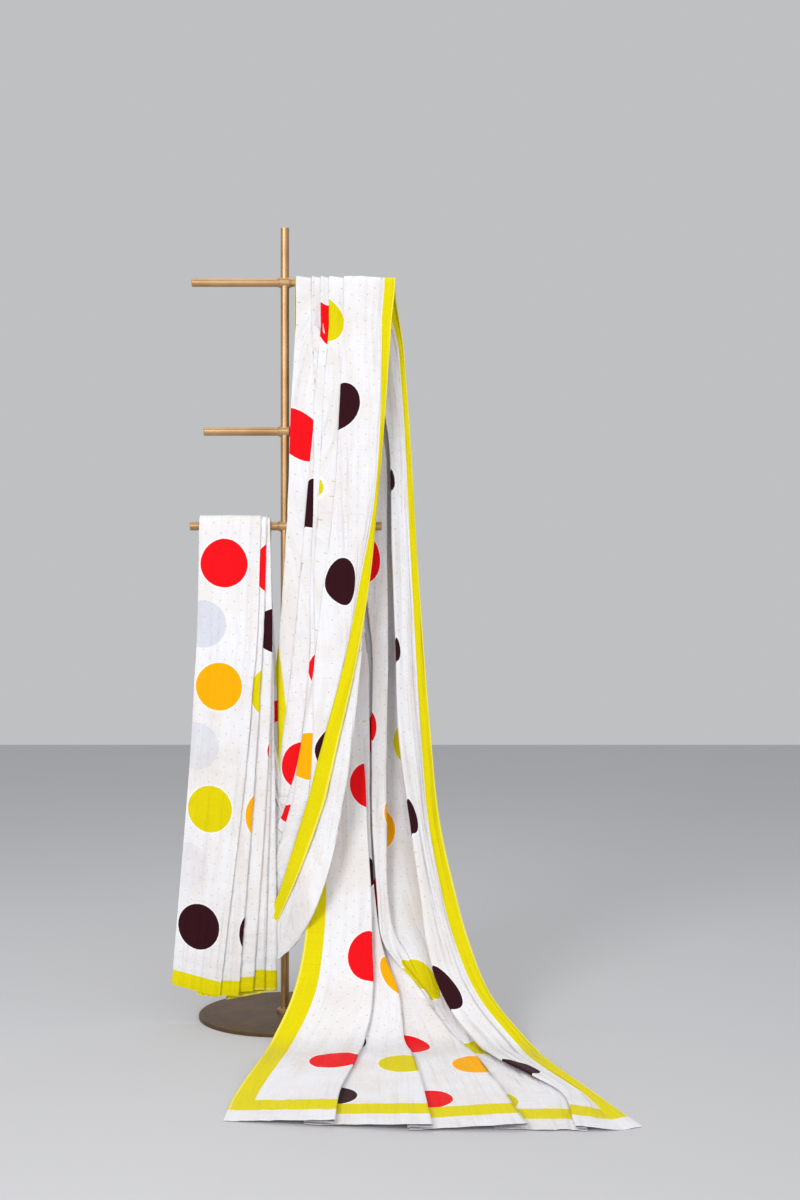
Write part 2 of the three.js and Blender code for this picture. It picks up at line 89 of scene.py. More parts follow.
# Painted see-through shade: the spots of the pleat behind are painted faintly on the last one, from one
# place on
GHOST = {"along": 5.204, "from": 5.095, "edge": 0.0012, "strength": 0.32, "at_hem": 0.4}
PIN_STEP = 0.036
PIN_ROW_STEP = 0.016
PIN_RADIUS = 0.0014
PIN_EDGE = (0.0004, 0.0003)
PIN_FROM = 0.3
PIN_STRENGTH = 0.7

# Relief of the cloth, in metres, and the scales of its noises
THREADS = {"fine": 700, "coarse": 16, "height": 0.0003, "shade": 0.34, "darkest": 0.83}
# The creases' shade and shaded values set the painted shade in their hollows
CREASES = {"fine": 34, "coarse": 2.6, "height": 0.011, "shade": 0.4, "shaded": (0.5, 0.28)}
BLOTCHES = {"scale": 7.0, "shaded": (0.35, 0.75)}
CRUSH = {"scale": 24.0, "height": 0.0026}
# The cloth was pressed flat in folds this far apart
PRESSED = {"step": 0.35, "width": 0.004, "height": 0.0005}
# Along the cloth, where creases that run down it give way to the side pleats' upright ones
PLEATS_BEGIN = (3.7, 4.1)

# The cloth is one grid. Its columns run along the cloth, from the right selvedge to the left
# one. Its rows cross it: floor hem, rear panel, top arm, front panel, swag, side pleats. Five
# pleats gather it, each with a left and a right fold. A column between two folds may have a
# foot: over the arm it lies beside the fold named there.
COLUMNS = [
    {"at": "edge0"},
    {"at": "border"},
    {"at": "panel"},
    {"fold": "left1"},
    {"fold": "right1"},
    {"between": 0.5, "foot": "left1"},
    {"fold": "left2"},
    {"fold": "right2"},
    {"between": 0.5, "foot": "left2"},
    {"fold": "left3"},
    {"fold": "right3"},
    {"between": 0.5, "foot": "left3"},
    {"fold": "left4"},
    {"fold": "right4"},
    {"between": 0.5, "foot": "left4"},
    {"fold": "left5"},
    {"fold": "right5"},
    {"between": 0.5},
    {"at": "edge1"},
]
FOOT_SHIFT = 2
FOOT_LIFT = 0.2
# Front rows nearer to the arm than this have feet
FOOTED_UNTIL = 0.2
# Rows are laid this share of a station apart, and this many go over the arm
STATION_STEP = 0.25
ARM_STEPS = 12
# The rear profile's slope is taken over this share of a station to both sides
SLOPE_REACH = 0.05

# Rear panel, a station for each entry, from the floor hem up to the top arm
REAR_PROFILE = {
    "depth": [-784, -610, -425, -262, -172, -104, -50, -5, 12, 25, 30, 30, 22],
    "height": [0.7, 3, 11, 2, 82, 176, 275, 440, 645, 825, 1070, 1295, 1500],
}
# How much further towards the viewer than the profile each line's floor end lies
REAR_REACH = {
    "edge0": 12, "border": 30, "panel": 37, "left1": 36, "right1": 38, "left2": 34, "right2": 36,
    "left3": 26, "right3": 38, "left4": 34, "right4": 42, "left5": 4, "right5": 18, "edge1": -20,
}
REAR_FOLD_WIDTH = [4, 4, 4, 4, 5, 5, 5, 5, 5, 5, 5, 4, 3]
# How far right of the pole each line of the rear panel lies
REAR_ACROSS = {
    "edge0": [690, 630, 562, 537, 457, 413, 384, 348, 327, 313, 296, 283, 268],
    "border": [648, 606, 528, 503, 425, 381, 353, 322, 305, 294, 281, 271, 256],
    "panel": [604, 594, 490, 458, 387, 350, 328, 301, 281, 272, 264, 255, 225],
    "left1": [567, 560, 452, 411, 346, 317, 304, 281, 256, 250, 241, 233, 192],
    "right1": [588, 579, 480, 446, 376, 350, 335, 318, 300, 292, 284, 272, 186],
    "left2": [545, 528, 435, 395, 334, 275, 190, 170, 150, 150, 150, 145, 118],
    "right2": [522, 494, 427, 389, 326, 259, 233, 229, 230, 233, 229, 223, 150],
    "left3": [426, 391, 369, 338, 318, 227, 209, 197, 195, 195, 168, 157, 112],
    "right3": [483, 449, 413, 381, 308, 240, 225, 213, 210, 214, 196, 185, 104],
    "left4": [273, 259, 239, 222, 206, 190, 165, 145, 125, 110, 90, 80, 68],
    "right4": [316, 303, 286, 268, 257, 220, 203, 192, 190, 186, 150, 134, 92],
    "left5": [88, 91, 111, 114, 121, 105, 95, 80, 70, 60, 42, 34, 30],
    "right5": [143, 148, 175, 186, 202, 198, 195, 185, 172, 146, 112, 96, 60],
    "edge1": [-58, -52, -26, -15, 27, 49, 53, 49, 43, 37, 32, 28, 23],
}
# How far each line stands towards the viewer, or up off the floor
REAR_LIFT = {
    "edge0": [0, 0, 1, 1, 3, 5, 5, 5, 5, 5, 4, 3, 1],
    "border": [0, 0, 3, 5, 12, 13, 13, 12, 10, 8, 6, 4, 1],
    "panel": [6, 6, 9, 14, 24, 26, 26, 24, 20, 16, 12, 8, 0],
    "left1": [8, 8, 12, 16, 28, 30, 31, 30, 26, 22, 16, 10, -2],
    "right1": [2.5, 2.5, 2, 3, -8, -22, -38, -44, -42, -35, -28, -20, -5],
    "left2": [2, 2, 2, 3, -4, -12, -30, -34, -33, -30, -26, -20, -13],
    "right2": [2, 2, 3, 4, -2, -9, -8, -6, -4, -4, -4, -4, -6],
    "left3": [3, 3, 3, 3, 3, 2, 2, 4, 3, 3, 3, 2, -5],
    "right3": [12, 12, 12, 12, 5, -6, -8, -7, -6, -6, -6, -6, -6],
    "left4": [3, 3, 3, 3, 2, -18, -22, -20, -18, -18, -16, -14, -10],
    "right4": [12, 12, 13, 14, 14, 3, 2, 0, 0, 0, -1, -2, -5],
    "left5": [3, 3, 4, 5, 5, 0, -6, -8, -10, -9, -8, -7, -7],
    "right5": [12, 13, 14, 18, 20, 20, 19, 16, 13, 11, 8, 5, -1.5],
    "edge1": [0, 0, 1, 1, 2, 6, 8, 8, 8, 7, 5, 3, -1],
}
# How far from the right selvedge the cloth is at each line, in metres of flat cloth
REAR_CLOTH = {
    "edge0": [0] * 13,
    "border": [0.045] * 13,
    "panel": [0.063, 0.086, 0.113, 0.108, 0.104, 0.105, 0.104, 0.1, 0.088, 0.088, 0.09, 0.09, 0.105],
    "left1": [0.1, 0.12, 0.151, 0.155, 0.145, 0.14, 0.13, 0.123, 0.115, 0.112, 0.112, 0.112, 0.14],
    "right1": [0.131, 0.16, 0.258, 0.29, 0.33, 0.348, 0.326, 0.302, 0.2765, 0.3, 0.313, 0.313, 0.26],
    "left2": [0.18, 0.21, 0.3, 0.335, 0.394, 0.428, 0.455, 0.45, 0.455, 0.455, 0.445, 0.42, 0.335],
    "right2": [0.215, 0.235, 0.315, 0.34, 0.41, 0.45, 0.46, 0.472, 0.479, 0.48, 0.486, 0.486, 0.5],
    "left3": [0.33, 0.335, 0.37, 0.39, 0.45, 0.49, 0.5, 0.504, 0.52, 0.52, 0.58, 0.58, 0.585],
    "right3": [0.393, 0.405, 0.415, 0.44, 0.475, 0.53, 0.55, 0.55, 0.566, 0.59, 0.59, 0.6, 0.6],
    "left4": [0.607, 0.61, 0.612, 0.613, 0.62, 0.643, 0.69, 0.705, 0.716, 0.725, 0.72, 0.72, 0.66],
    "right4": [0.65, 0.655, 0.675, 0.69, 0.71, 0.739, 0.765, 0.85, 0.895, 0.905, 0.89, 0.87, 0.95],
    "left5": [0.865, 0.865, 0.86, 0.86, 0.87, 0.879, 0.9, 0.914, 0.935, 0.945, 0.95, 0.965, 1.0],
    "right5": [0.92, 0.92, 0.925, 0.935, 0.96, 0.963, 0.97, 0.98, 0.985, 0.99, 0.99, 0.99, 1.0],
    "edge1": [1.12] * 13,
}

# How much less of the cloth's length each station has than its path measures, in metres. In
# front it has two values: at the arm, and where the swag starts.
REAR_SLACK = [0, 0, 0, 0, 0, 0.01, 0.022, 0.022, 0.022, 0.025, 0.03, 0.045, 0.06]
FRONT_SLACK = {
    "edge0": [0.084, 0.115], "border": [0.084, 0.115], "panel": [0.084, 0.115],
    "left1": [0.084, 0.105], "right1": [0.084, 0.095], "left2": [0.07, 0.085],
    "right2": [0.055, 0.082], "left3": [0.05, 0.082], "right3": [0.05, 0.07],
    "left4": [0.055, 0.068], "right4": [0.03, 0.1], "left5": [0.056, 0.08],
    "right5": [0.08, 0.08], "edge1": [0.08, 0.08],
}
# The front's slack turns from the first value to the second between these stations
FRONT_SLACK_TURN = (1, 3)
# A step along the cloth counts at least this share of its path, however far it slides across
LEAST_STEP = 0.9

# Over the top arm: each line's place, the layers under it and its place across the flat cloth
ARM_ACROSS = {
    "edge0": 248, "border": 224, "panel": 168, "left1": 133, "right1": 160, "left2": 100,
    "right2": 107, "left3": 81, "right3": 84.5, "left4": 61, "right4": 65, "left5": 26,
    "right5": 29, "edge1": 23,
}
ARM_LAYERS = {
    "edge0": 0, "border": 0.3, "panel": 2, "left1": 1.5, "right1": 0.5, "left2": 1.5,
    "right2": 0.5, "left3": 1.5, "right3": 0.5, "left4": 1.5, "right4": 0.5, "left5": 1.5,
    "right5": 0.5, "edge1": 0,
}
ARM_CLOTH = {
    "edge0": 0, "border": 0.045, "panel": 0.11, "left1": 0.145, "right1": 0.232, "left2": 0.27,
    "right2": 0.575, "left3": 0.593, "right3": 0.6, "left4": 0.632, "right4": 1.02,
    "left5": 1.04, "right5": 1.045, "edge1": 1.12,
}

# Front panel, a station for each entry, from the top arm down to where the swag turns
FRONT_PROFILE = {
    "height": [1556, 1365, 1157, 979, 796, 599, 497],
    "depth": [-13, -15, -15.5, -16, -16, -16, -16],
}
FRONT_FOLD_WIDTH = [2, 1.6, 2, 2.3, 2.5, 2.5, 2.5]
FRONT_ACROSS = {
    "edge0": [240, 227, 210, 192, 163, 119, 96],
    "border": [218, 216, 202, 171, 135, 83, 57],
    "panel": [172, 168, 164, 159, 139, 89, 62],
    "left1": [133, 124, 112, 91, 69, 65, 56],
    "right1": [158, 174, 183, 185, 172, 152, 135],
    "left2": [100, 87, 78, 67, 69, 36, 23],
    "right2": [108, 145, 160, 165, 150, 112, 90],
    "left3": [82, 67, 66, 60, 57, 36, 10],
    "right3": [86, 130, 150, 140, 130, 100, 78],
    "left4": [62, 67, 50, 36, 18, -6, -10],
    "right4": [66, 110, 140, 135, 120, 90, 70],
    "left5": [26, 15, 8, -2, -14, -14, -16],
    "right5": [31, 90, 115, 110, 95, 75, 58],
    "edge1": [23, 22, 20, 9, -18, -27, -28],
}
# How far each line stands in front of the rearmost layer
FRONT_LIFT = {
    "edge0": [2, 15, 20, 24, 28, 28, 28],
    "border": [2.5, 17, 22.5, 27, 31, 31, 31],
    "panel": [5, 17, 22, 25, 27, 27, 27],
    "left1": [4, 16, 20, 23, 25, 25, 25],
    "right1": [2, 14.4, 18, 20.7, 22.5, 22.5, 22.5],
    "left2": [4, 12.8, 16, 18.4, 20, 20, 20],
    "right2": [2, 11.2, 14, 16.1, 17.5, 17.5, 17.5],
    "left3": [4, 9.6, 12, 13.8, 15, 15, 15],
    "right3": [2, 8, 10, 11.5, 12.5, 12.5, 12.5],
    "left4": [4, 6.4, 8, 9.2, 10, 10, 10],
    "right4": [2, 4.8, 6, 6.9, 7.5, 7.5, 7.5],
    "left5": [4, 3.2, 4, 4.6, 5, 5, 5],
    "right5": [2, 1.6, 2, 2.3, 2.5, 2.5, 2.5],
    "edge1": [0, 0, 0, 0, 0, 0, 0],
}
FRONT_CLOTH = {
    "edge0": [0] * 7,
    "border": [0.045] * 7,
    "panel": [0.1, 0.107, 0.106, 0.107, 0.14, 0.175, 0.2],
    "left1": [0.135, 0.155, 0.18, 0.21, 0.215, 0.212, 0.218],
    "right1": [0.214, 0.205, 0.215, 0.27, 0.355, 0.35, 0.35],
    "left2": [0.27, 0.29, 0.241, 0.33, 0.38, 0.45, 0.46],
    "right2": [0.58, 0.562, 0.546, 0.535, 0.54, 0.533, 0.53],
    "left3": [0.596, 0.612, 0.63, 0.625, 0.612, 0.6, 0.6],
    "right3": [0.602, 0.72, 0.745, 0.771, 0.833, 0.908, 0.93],
    "left4": [0.632, 0.8, 0.845, 0.875, 0.945, 1.014, 1.02],
    "right4": [0.97, 0.886, 0.895, 0.908, 0.975, 1.035, 1.04],
    "left5": [1.01, 0.981, 0.99, 1.045, 1.08, 1.092, 1.095],
    "right5": [1.02, 1.03, 1.05, 1.06, 1.09, 1.1, 1.1],
    "edge1": [1.12] * 7,
}

# Side pleats, from the swag's end to the saree's own end. Each row is a fold, with its place
# right of the pole at the arm, a third of the way down, and at the hem, its hem's height, and
# how far along the cloth it is at the hem and at the arm, in metres.
SIDE_FOLDS = [
    {"name": "inner", "top": -66, "middle": -88, "bottom": -128, "hem": 44, "low": 4.14, "high": 4.3},
    {"name": "right5", "top": -40, "middle": -22, "bottom": -14, "hem": 66, "low": 4.32, "high": 4.35},
    {"name": "left5", "top": -78, "middle": -84, "bottom": -100, "hem": 66, "low": 4.42, "high": 4.43},
    {"name": "right4", "top": -36, "middle": -25, "bottom": -42, "hem": 68, "low": 4.51, "high": 4.51},
    {"name": "left4", "top": -88, "middle": -96, "bottom": -120, "hem": 66, "low": 4.62, "high": 4.53},
    {"name": "right3", "top": -32, "middle": -26, "bottom": -66, "hem": 66, "low": 4.72, "high": 4.59},
    {"name": "left3", "top": -98, "middle": -110, "bottom": -150, "hem": 62, "low": 4.77, "high": 4.66},
    {"name": "right2", "top": -39, "middle": -50, "bottom": -98, "hem": 56, "low": 4.833, "high": 4.8},
    {"name": "left2", "top": -150, "middle": -165, "bottom": -190, "hem": 60, "low": 4.968, "high": 4.96},
    {"name": "right1", "top": -52, "middle": -66, "bottom": -140, "hem": 54, "low": 5.089, "high": 5.08},
    {"name": "end", "top": -190, "middle": -196, "bottom": -246, "hem": 84, "low": 5.216, "high": 5.216},
]
# How far up the print is turned on the pleats under a layer and on those from it on, in metres
# of cloth, the heights between which that comes in, and where it starts to go out
SIDE_TURN = {
    "layer": 6,
    "inner": -0.018, "inner_in": (0.1, 0.6),
    "outer": 0.033, "outer_in": (-0.3, 0.5),
    "end": 0.96,
}
# How high over the hem a pleat's first columns lie, as shares of its hang
HANG_FIRST = [0, 0.045, 0.1]
SIDE_LEAN = 27
SIDE_LEAN_DROP = 320
SIDE_FLAP = 28
SIDE_WRAP_COLUMNS = 6
SIDE_FLAP_COLUMNS = 4
# The rows that join the swag to the innermost pleat start this far right of its fold
JOIN_ROWS = 22
JOIN_SHIFT = 34
SWAG_ROWS = 42
# Each column of the swag is a curve with two handles, this far left of its start and right of
# its end, and this far below them: first for the column that ends at the hem, then for the one
# that ends at the arm
SWAG_START = {"left": (60, 0), "down": (190, 0)}
SWAG_END = {"right": (70, 20), "down": (-60, 700)}
# Columns that end within a span of the height of that end sag further, this far in its middle
SWAG_SAG = {"deep": 200, "from": 0.08, "span": 0.27}
# The swag's plies close up towards this depth, to pass behind the side pleats
SWAG_CLOSE = {"from": -32, "depth": -25, "share": 0.8, "across": 60, "width": 140}
# From these shares of its run the swag's depth and its place across the cloth turn to its end's
SWAG_MEET = 0.55
SWAG_CLOTH_TURN = 0.15
# Down from the first height the front panel's right side comes forward, all the way at the
# second, and in the swag too, to hang clear of the rear panel's sweep
LEAN = {"slope": 0.3, "across": -25, "high": 979, "low": 497}
# The swag's low right side passes this far further forward, in front of the rear panel's border
SWAG_PASS = {"depth": 34, "high": 430, "low": 265, "across": -20, "width": 90}


def lerp(a, b, t):
    return a + (b - a) * t


def clamp(value, low, high):
    return min(max(value, low), high)


def ease(value, start, end):
    t = clamp((value - start) / (end - start), 0, 1)
    return t * t * (3 - 2 * t)


def along(values, place):
    """Smooth value between the entries of a list, at a fractional place"""
    last = len(values) - 1
    i = int(clamp(math.floor(place), 0, last - 1))
    t = place - i
    a, b = values[i], values[i + 1]
    before = values[i - 1] if i > 0 else 2 * a - b
    after = values[i + 2] if i < last - 1 else 2 * b - a
    slope_a = 0.5 * (b - before)
    slope_b = 0.5 * (after - a)
    t2, t3 = t * t, t * t * t
    return (
        (2 * t3 - 3 * t2 + 1) * a
        + (t3 - 2 * t2 + t) * slope_a
        + (3 * t2 - 2 * t3) * b
        + (t3 - t2) * slope_b
    )


def stations(table):
    """Places from a table's first entry to its last, a few to each entry"""
    return np.arange(0, len(table) - 1 + 1e-6, STATION_STEP)


def crossing(across, lift, cloth, fold_width, footed):
    """One crossing row: [across, lift, cloth] points, two for each fold, a fold width apart"""
    keys = []
    for column in COLUMNS:
        if "between" in column:
            continue
        name = column.get("at") or column.get("fold")
        keys.append(("fold" in column, np.array([across[name], lift[name]], float), cloth[name]))
    rounded = []
    for k, (fold, point, flat) in enumerate(keys):
        if not fold:
            rounded.append([(point, flat)])
            continue
        before = point - keys[k - 1][1]
        after = keys[k + 1][1] - point
        before = before / np.linalg.norm(before)
        after = after / np.linalg.norm(after)
        openness = max(0.0, float(before @ after))
        half = lerp(fold_width, OPEN_FOLD_WIDTH, openness) / 2
        turn = before + after
        turn = turn / np.linalg.norm(turn) * half
        rounded.append([(point - turn, flat), (point + turn, flat)])
    row = []
    k = 0
    for column in COLUMNS:
        if "between" not in column:
            row.extend(rounded[k])
            k += 1
            continue
        start, end = rounded[k - 1][-1], rounded[k][0]
        flat = lerp(start[1], end[1], column["between"])
        if footed and "foot" in column:
            row.append((np.array([across[column["foot"]] - FOOT_SHIFT, FOOT_LIFT]), flat))
        else:
            row.append((lerp(start[0], end[0], column["between"]), flat))
    return row


def per_column(table):
    """One value for each column: a fold has two columns, one between two lines gets their mean"""
    named = [table.get(column.get("at") or column.get("fold")) for column in COLUMNS]
    values = []
    for k, column in enumerate(COLUMNS):
        if "between" in column:
            values.append(lerp(named[k - 1], named[k + 1], column["between"]))
        elif "fold" in column:
            values += [named[k], named[k]]
        else:
            values.append(named[k])
    return values


def pick(table, place):
    return {name: along(values, place) for name, values in table.items()}


def rear_rows():
    rows = []
    last = len(REAR_PROFILE["depth"]) - 1
    reach = per_column(REAR_REACH)
    for place in stations(REAR_PROFILE["depth"]):
        y = along(REAR_PROFILE["depth"], place)
        z = along(REAR_PROFILE["height"], place)
        ahead = min(place + SLOPE_REACH, last)
        behind = max(place - SLOPE_REACH, 0)
        rise = np.array([
            along(REAR_PROFILE["depth"], ahead) - along(REAR_PROFILE["depth"], behind),
            along(REAR_PROFILE["height"], ahead) - along(REAR_PROFILE["height"], behind),
        ])
        rise = rise / np.linalg.norm(rise)
        width = along(REAR_FOLD_WIDTH, place)
        points = crossing(
            pick(REAR_ACROSS, place), pick(REAR_LIFT, place), pick(REAR_CLOTH, place), width, False
        )
        far = clamp(1 - place, 0, 1)
        row = []
        for c, (p, flat) in enumerate(points):
            up = max(z + p[1] * rise[0], CLOTH_THICKNESS / 2)
            row.append((p[0], y - p[1] * rise[1] - reach[c] * far, up, flat))
        rows.append(row)
    return rows


def arm_rows():
    lifts = {name: count * ARM_LAYER for name, count in ARM_LAYERS.items()}
    points = crossing(ARM_ACROSS, lifts, ARM_CLOTH, ARM_LAYER, True)
    rows = []
    for i in range(ARM_STEPS + 1):
        angle = math.pi * i / ARM_STEPS
        row = []
        for p, flat in points:
            r = TUBE_RADIUS + ARM_SEAT + p[1]
            row.append((p[0], r * math.cos(angle), TOP_ARM_HEIGHT + r * math.sin(angle), flat))
        rows.append(row)
    return rows


def front_rows():
    rows = []
    for place in stations(FRONT_PROFILE["height"]):
        z = along(FRONT_PROFILE["height"], place)
        rear = along(FRONT_PROFILE["depth"], place)
        width = along(FRONT_FOLD_WIDTH, place)
        footed = place < FOOTED_UNTIL
        points = crossing(
            pick(FRONT_ACROSS, place), pick(FRONT_LIFT, place), pick(FRONT_CLOTH, place), width, footed
        )
        slope = LEAN["slope"] * ease(LEAN["high"] - z, 0, LEAN["high"] - LEAN["low"])
        row = []
        for p, flat in points:
            lean = slope * max(p[0] - LEAN["across"], 0)
            row.append((p[0], rear - p[1] - lean, z, flat))
        rows.append(row)
    return rows


COLUMN_COUNT = sum(2 if "fold" in column else 1 for column in COLUMNS)
HANG_COLUMNS = COLUMN_COUNT - SIDE_WRAP_COLUMNS - SIDE_FLAP_COLUMNS


def hang_share(c):
    last = len(HANG_FIRST) - 1
    if c <= last:
        return HANG_FIRST[c]
    return lerp(HANG_FIRST[last], 1, (c - last) / (HANG_COLUMNS - 1 - last))


def hanging_row(fold, layer, reach):
    """One hanging row of the side pleats, with how far each point is above the hem along it"""
    at_arm = TUBE_RADIUS + ARM_SEAT + layer * STACK_LAYER_AT_ARM
    hang = LOWER_ARM_HEIGHT - fold["hem"]
    wrap = math.pi * at_arm
    total = hang + reach * (wrap + SIDE_FLAP)
    full = hang + wrap + SIDE_FLAP
    below = SIDE_LEAN + TUBE_RADIUS + ARM_SEAT + layer * STACK_LAYER_BELOW
    row = []
    for c in range(COLUMN_COUNT):
        over = c - HANG_COLUMNS + 1
        if c < HANG_COLUMNS:
            distance = hang_share(c) * hang
        elif over <= SIDE_WRAP_COLUMNS:
            distance = hang + wrap * over / SIDE_WRAP_COLUMNS
        else:
            distance = hang + wrap + SIDE_FLAP * (over - SIDE_WRAP_COLUMNS) / SIDE_FLAP_COLUMNS
        distance *= total / full
        drop = hang - distance
        up = distance / full * CLOTH_WIDTH
        outer = ease(layer, SIDE_TURN["layer"] - 1, SIDE_TURN["layer"])
        inner_turn = SIDE_TURN["inner"] * ease(up, *SIDE_TURN["inner_in"])
        outer_turn = SIDE_TURN["outer"] * ease(up, *SIDE_TURN["outer_in"])
        turn = lerp(inner_turn, outer_turn, outer)
        flat = up + turn * (1 - ease(up, SIDE_TURN["end"], CLOTH_WIDTH))
        if drop >= 0:
            t = drop / hang
            # The middle place lies a third of the way down
            place = t * 3 if t < 1 / 3 else 1 + (t - 1 / 3) * 1.5
            x = along([fold["top"], fold["middle"], fold["bottom"]], place)
            lean = ease(drop, 0, SIDE_LEAN_DROP)
            row.append((x, -lerp(at_arm, below, lean), LOWER_ARM_HEIGHT - drop, flat))
        elif -drop <= wrap:
            angle = -drop / at_arm
            y = -at_arm * math.cos(angle)
            row.append((fold["top"], y, LOWER_ARM_HEIGHT + at_arm * math.sin(angle), flat))
        else:
            row.append((fold["top"], at_arm, LOWER_ARM_HEIGHT + drop + wrap, flat))
    return row


def side_rows():
    rows = []
    for i, fold in enumerate(SIDE_FOLDS):
        rows.append((fold, hanging_row(fold, i, 1)))
        if i < len(SIDE_FOLDS) - 1:
            rows.append((fold, hanging_row(fold, i + 1, 1)))
    return rows


def join_rows():
    inner = SIDE_FOLDS[0]
    rows = []
    for k in range(JOIN_ROWS):
        reach = k / JOIN_ROWS
        shift = JOIN_SHIFT * (1 - reach)
        fold = dict(inner, top=inner["top"] + shift, middle=inner["middle"] + shift / 2)
        rows.append(hanging_row(fold, 0, reach))
    return rows


def swag_rows(start_row, end_row):
    rows = []
    z0, z1 = end_row[0][2], end_row[-1][2]
    for i in range(1, SWAG_ROWS):
        t = i / SWAG_ROWS
        row = []
        for start, end in zip(start_row, end_row):
            share = (end[2] - z0) / (z1 - z0)
            sagging = clamp((share - SWAG_SAG["from"]) / SWAG_SAG["span"], 0, 1)
            sag = SWAG_SAG["deep"] * math.sin(math.pi * sagging)
            one_x = start[0] - lerp(*SWAG_START["left"], share)
            one_z = start[2] - lerp(*SWAG_START["down"], share) - sag
            two_x = end[0] + lerp(*SWAG_END["right"], share)
            two_z = end[2] - lerp(*SWAG_END["down"], share) - sag
            w = ((1 - t) ** 3, 3 * (1 - t) ** 2 * t, 3 * (1 - t) * t * t, t ** 3)
            x = w[0] * start[0] + w[1] * one_x + w[2] * two_x + w[3] * end[0]
            z = w[0] * start[2] + w[1] * one_z + w[2] * two_z + w[3] * end[2]
            closing = ease(SWAG_CLOSE["across"] - x, 0, SWAG_CLOSE["width"])
            own = start[1] + LEAN["slope"] * max(start[0] - LEAN["across"], 0)
            ply = (own - SWAG_CLOSE["from"]) * lerp(1, SWAG_CLOSE["share"], closing)
            middle = lerp(SWAG_CLOSE["from"], SWAG_CLOSE["depth"], closing)
            low = ease(SWAG_PASS["high"] - z, 0, SWAG_PASS["high"] - SWAG_PASS["low"])
            across = ease(x - SWAG_PASS["across"], 0, SWAG_PASS["width"])
            lean = LEAN["slope"] * max(x - LEAN["across"], 0) + SWAG_PASS["depth"] * low * across
            y = lerp(middle + ply - lean, end[1], ease(t, SWAG_MEET, 1))
            flat = lerp(start[3], end[3], ease(t, SWAG_CLOTH_TURN, 1))
            row.append((x, y, z, flat))
        rows.append(row)
    return rows


def lengths_along(points, flats):
    """How far along the cloth each point of a column is, from the steps between its rows"""
    step = np.linalg.norm(np.diff(points, axis=0), axis=1)
    slide = np.diff(flats) * MILLIMETRES
    step = np.sqrt(np.maximum(step ** 2 - slide ** 2, (LEAST_STEP * step) ** 2))
    return np.concatenate([[0], np.cumsum(step)])


def key_grid():
    """The cloth's key points, [row, column, (x, y, z, across the cloth, along the cloth)]"""
    front = front_rows()
    join = join_rows()
    side = side_rows()
    upper = rear_rows() + arm_rows() + front
    swag = swag_rows(front[-1], join[0])
    upper_grid = np.array(upper, float)
    rows, columns, _ = upper_grid.shape
    v = np.zeros((rows, columns))
    for c in range(columns):
        v[:, c] = lengths_along(upper_grid[:, c, :3], upper_grid[:, c, 3]) / MILLIMETRES
    slack = [np.full(columns, along(REAR_SLACK, place)) for place in stations(REAR_SLACK)]
    top, low = (np.array(per_column(pick(FRONT_SLACK, end))) for end in (0, 1))
    slack += [lerp(slack[-1], top, i / ARM_STEPS) for i in range(ARM_STEPS + 1)]
    slack += [lerp(top, low, ease(k * STATION_STEP, *FRONT_SLACK_TURN)) for k in range(len(front))]
    v = np.maximum(v - np.array(slack), 0)
    upper_grid = np.concatenate([upper_grid, v[..., None]], axis=2)
    inner = SIDE_FOLDS[0]

    def place_along(fold, row):
        height = np.array([p[3] for p in row]) / CLOTH_WIDTH
        return lerp(fold["low"], fold["high"], np.clip(height, 0, 1))

    side_grid = []
    for k, row in enumerate(join):
        points = np.array(row, float)
        shift = JOIN_SHIFT * (1 - k / JOIN_ROWS) / MILLIMETRES
        share = np.clip(points[:, 3] / CLOTH_WIDTH, 0, 1)
        place = place_along(inner, row) - shift * share
        side_grid.append(np.column_stack([points, place]))
    for fold, row in side:
        side_grid.append(np.column_stack([np.array(row, float), place_along(fold, row)]))
    side_grid = np.array(side_grid)
    swag_points = np.array([front[-1]] + swag + [join[0]], float)
    steps = np.linalg.norm(np.diff(swag_points[..., :3], axis=0), axis=2)
    share = np.concatenate([np.zeros((1, columns)), np.cumsum(steps, axis=0)])
    share = share / share[-1]
    place = lerp(upper_grid[-1, :, 4], side_grid[0, :, 4], share)
    swag_grid = np.concatenate([swag_points, place[..., None]], axis=2)[1:-1]
    return np.concatenate([upper_grid, swag_grid, side_grid])


def monotone(x, values, at):
    """Cubic through values[k] at x[k], without overshoot. values may have more dimensions"""
    step = np.diff(x)
    shape = (-1,) + (1,) * (values.ndim - 1)
    slope = np.diff(values, axis=0) / step.reshape(shape)
    tangent = np.zeros_like(values)
    same = slope[:-1] * slope[1:] > 0
    w1 = (2 * step[1:] + step[:-1]).reshape(shape)
    w2 = (step[1:] + 2 * step[:-1]).reshape(shape)
    with np.errstate(divide="ignore", invalid="ignore"):
        inner = (w1 + w2) / (w1 / slope[:-1] + w2 / slope[1:])
    tangent[1:-1] = np.where(same, inner, 0)
    tangent[0] = slope[0]
    tangent[-1] = slope[-1]
    k = np.clip(np.searchsorted(x, at, side="right") - 1, 0, len(x) - 2)
    h = step[k].reshape(shape)
    t = ((at - x[k]) / step[k]).reshape(shape)
    t2, t3 = t * t, t * t * t
    return (
        (2 * t3 - 3 * t2 + 1) * values[k]
        + (t3 - 2 * t2 + t) * h * tangent[k]
        + (3 * t2 - 2 * t3) * values[k + 1]
        + (t3 - t2) * h * tangent[k + 1]
    )


# How many cells each gap between key columns is split into. The outer gaps are the long ones.
COLUMN_SPLITS = {"fold": 4, "short": 6, "long": 12}
OUTER_GAPS = 3
ROW_STEP = 10.0
# Rows and columns closer than these are spread as if they were this far apart
LEAST_ROW_GAP = 0.5
LEAST_COLUMN_GAP = 1e-3


